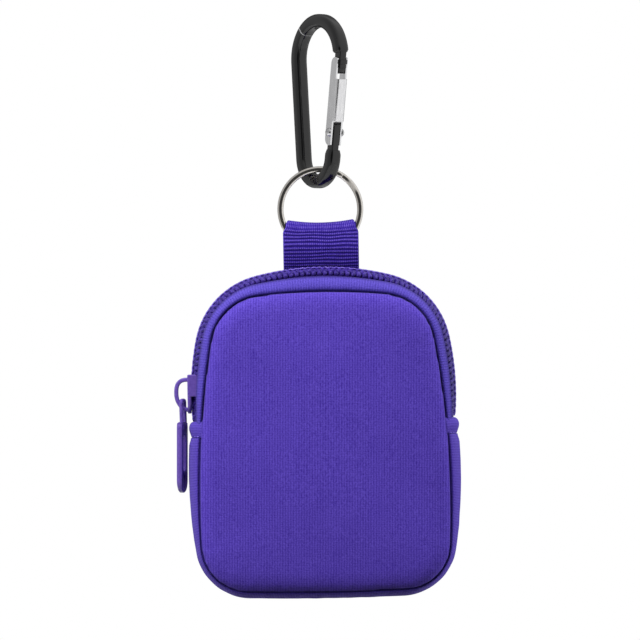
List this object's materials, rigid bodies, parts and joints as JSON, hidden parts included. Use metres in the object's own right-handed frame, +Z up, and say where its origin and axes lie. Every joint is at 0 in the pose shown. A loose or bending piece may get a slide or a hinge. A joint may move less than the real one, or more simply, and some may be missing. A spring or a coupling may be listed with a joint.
{
  "type": "keychain wallet pouch",
  "caption": "Zipped padded fabric pouch with rounded corners, hung from a webbing loop, a split ring and a pear-shaped carabiner with a sprung gate.",
  "frame": {"origin": "underside of the carabiner's top bow, where the hook hangs", "axes": "+Z up along the hanging object, +Y from the front of the pouch to its back, +X to the right seen from the front"},
  "size_m": [0.0953, 0.0292, 0.1934],
  "materials": {
    "black_anodised": "gloss anodised",
    "bare_aluminium": "satin",
    "rivet_steel": "bright",
    "spring_steel": "satin",
    "nickel": "polished nickel",
    "nylon_webbing": "ribbed nylon webbing",
    "knit_panel": "padded knit fabric",
    "band_fabric": "padded fabric band",
    "zip_tape": "woven zip tape",
    "zip_coil": "nylon coil",
    "slider_paint": "satin paint"
  },
  "bodies": {
    "carabiner": {"carabiner_hook": "black_anodised", "gate_rivet": "rivet_steel"},
    "gate": {"carabiner_gate": "bare_aluminium", "gate_spring": "spring_steel"},
    "ring": {"split_ring": "nickel"},
    "loop": {"webbing_loop": "nylon_webbing"},
    "pouch": {"webbing_tails": "nylon_webbing", "back_panel": "knit_panel", "gusset": "knit_panel", "back_zip_strip": "band_fabric", "back_zip_tape": "zip_tape", "back_zip_coil": "zip_coil", "front_panel_lower": "knit_panel", "front_strip_ends": "band_fabric", "front_tape_ends": "zip_tape", "front_coil_ends": "zip_coil", "left_end_tab": "band_fabric", "right_end_tab": "band_fabric"},
    "flap": {"front_panel_upper": "knit_panel", "front_zip_strip": "band_fabric", "front_zip_tape": "zip_tape", "front_zip_coil": "zip_coil"},
    "slider": {"slider_body": "slider_paint", "slider_bail": "slider_paint"},
    "pull": {"pull_tab": "slider_paint"}
  },
  "joints": [
    {"name": "gate_swing", "type": "hinge", "parent": "carabiner", "child": "gate", "pos_m": [0.00476, -0.00787, -0.03497], "axis": [-0.8289, -0.5592, 0.013], "range_deg": [0, 28], "stiffness_Nm_per_rad": 0.02, "springref_deg": -20.05},
    {"name": "ring_swing", "type": "hinge", "parent": "carabiner", "child": "ring", "pos_m": [-0.0008, 0, -0.05109], "axis": [0.5591, -0.829, -0.0088], "range_deg": [-60, 60]},
    {"name": "loop_slide", "type": "hinge", "parent": "ring", "child": "loop", "pos_m": [0, 0, -0.0602], "axis": [0, 1, 0], "range_deg": [-60, 60]},
    {"name": "loop_flex", "type": "hinge", "parent": "loop", "child": "pouch", "pos_m": [0.00034, 0.0024, -0.0796], "axis": [0.9998, 0, 0.0175], "range_deg": [-12, 60], "stiffness_Nm_per_rad": 0.02},
    {"name": "zip_travel", "type": "hinge", "parent": "pouch", "child": "slider", "pos_m": [0.04706, -0.002, -0.12029], "axis": [0, 1, 0], "range_deg": [0, 9]},
    {"name": "pull_swing", "type": "hinge", "parent": "slider", "child": "pull", "pos_m": [-0.0455, -0.002, -0.12352], "axis": [0, 1, 0], "range_deg": [0, 150]},
    {"name": "flap_open", "type": "hinge", "parent": "pouch", "child": "flap", "pos_m": [0.00093, -0.016, -0.11379], "axis": [0.9998, 0, 0.0175], "range_deg": [0, 55], "stiffness_Nm_per_rad": 0.01}
  ]
}
